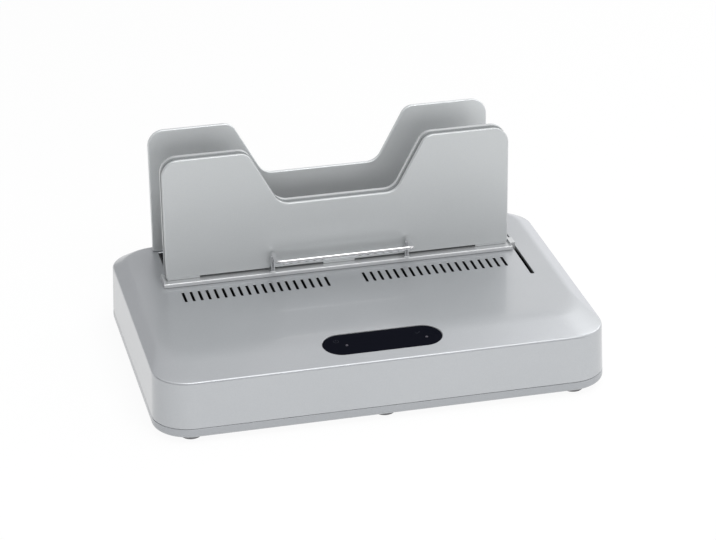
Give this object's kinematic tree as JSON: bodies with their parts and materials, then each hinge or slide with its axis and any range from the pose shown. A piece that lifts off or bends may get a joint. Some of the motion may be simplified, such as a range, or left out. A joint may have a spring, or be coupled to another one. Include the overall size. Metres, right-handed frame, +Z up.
{
  "type": "thermal binding machine",
  "caption": "Desktop thermal binding machine: shallow silver housing with a heated spine well between a fixed notched plate and a sliding one with a wire bail.",
  "frame": {"origin": "centre of the bounding box at the height that the feet stand on", "axes": "+X along the plates to the user's right, +Y from the user towards the rear wall, +Z up"},
  "size_m": [0.401, 0.2782, 0.1808],
  "materials": {
    "silver_paint": "satin silver, moulded",
    "steel": "plain",
    "chrome": "polished",
    "aluminium": "plain",
    "rubber": "matte",
    "black_plastic": "moulded",
    "lens": "gloss",
    "light": "clear",
    "board": "lacquered",
    "mica": "layered",
    "felt": "fibrous",
    "brass": "plain",
    "lead": "soft"
  },
  "bodies": {
    "housing": {"bottom_pan": "silver_paint", "case_screw_1": "steel", "case_screw_2": "steel", "case_screw_3": "steel", "case_screw_4": "steel", "case_screw_5": "steel", "case_screw_6": "steel", "control_board": "board", "foot_front_left": "rubber", "foot_front_middle": "rubber", "foot_front_right": "rubber", "foot_rear_left": "rubber", "foot_rear_middle": "rubber", "foot_rear_right": "rubber", "guide_rod": "steel", "heat_sink": "aluminium", "heater_insulation": "felt", "heater_plate": "aluminium", "heater_tray": "steel", "heating_element": "mica", "indicator_left": "light", "indicator_right": "light", "inlet_pin_earth": "brass", "inlet_pin_line": "brass", "inlet_pin_neutral": "brass", "lead_board_to_thermostat": "lead", "lead_boards": "lead", "lead_fuse_to_board": "lead", "lead_inlet_to_board": "lead", "lead_inlet_to_switch": "lead", "lead_start_switch": "lead", "lead_switch_to_board": "lead", "lead_thermostat_to_fuse": "lead", "panel_lens": "lens", "power_board": "board", "power_capacitor": "aluminium", "power_inlet": "black_plastic", "power_relay": "black_plastic", "rear_foot_strip": "silver_paint", "rear_plate": "silver_paint", "rear_plate_liner": "steel", "rod_bracket_front": "steel", "rod_bracket_rear": "steel", "start_switch": "black_plastic", "switch_frame": "black_plastic", "thermal_fuse": "steel", "thermostat": "black_plastic", "top_cover": "silver_paint", "well_liner": "black_plastic"},
    "carriage": {"front_plate": "silver_paint", "front_plate_liner": "steel", "front_carriage": "silver_paint", "slide_shoe": "black_plastic", "pull_bail": "chrome"},
    "start_pin": {"start_pin": "black_plastic"},
    "power_rocker": {"switch_rocker": "black_plastic"}
  },
  "joints": [
    {"name": "carriage_slide", "type": "slide", "parent": "housing", "child": "carriage", "axis": [0, 1, 0], "range_m": [-0.06, 0.048]},
    {"name": "start_press", "type": "slide", "parent": "housing", "child": "start_pin", "axis": [0, 0, -1], "range_m": [0, 0.004], "stiffness_N_per_m": 150, "springref_m": -0.002},
    {"name": "power_rock", "type": "hinge", "parent": "housing", "child": "power_rocker", "pos_m": [-0.093, 0.13178, 0.0287], "axis": [0, 0, 1], "range_deg": [0, 20]}
  ]
}
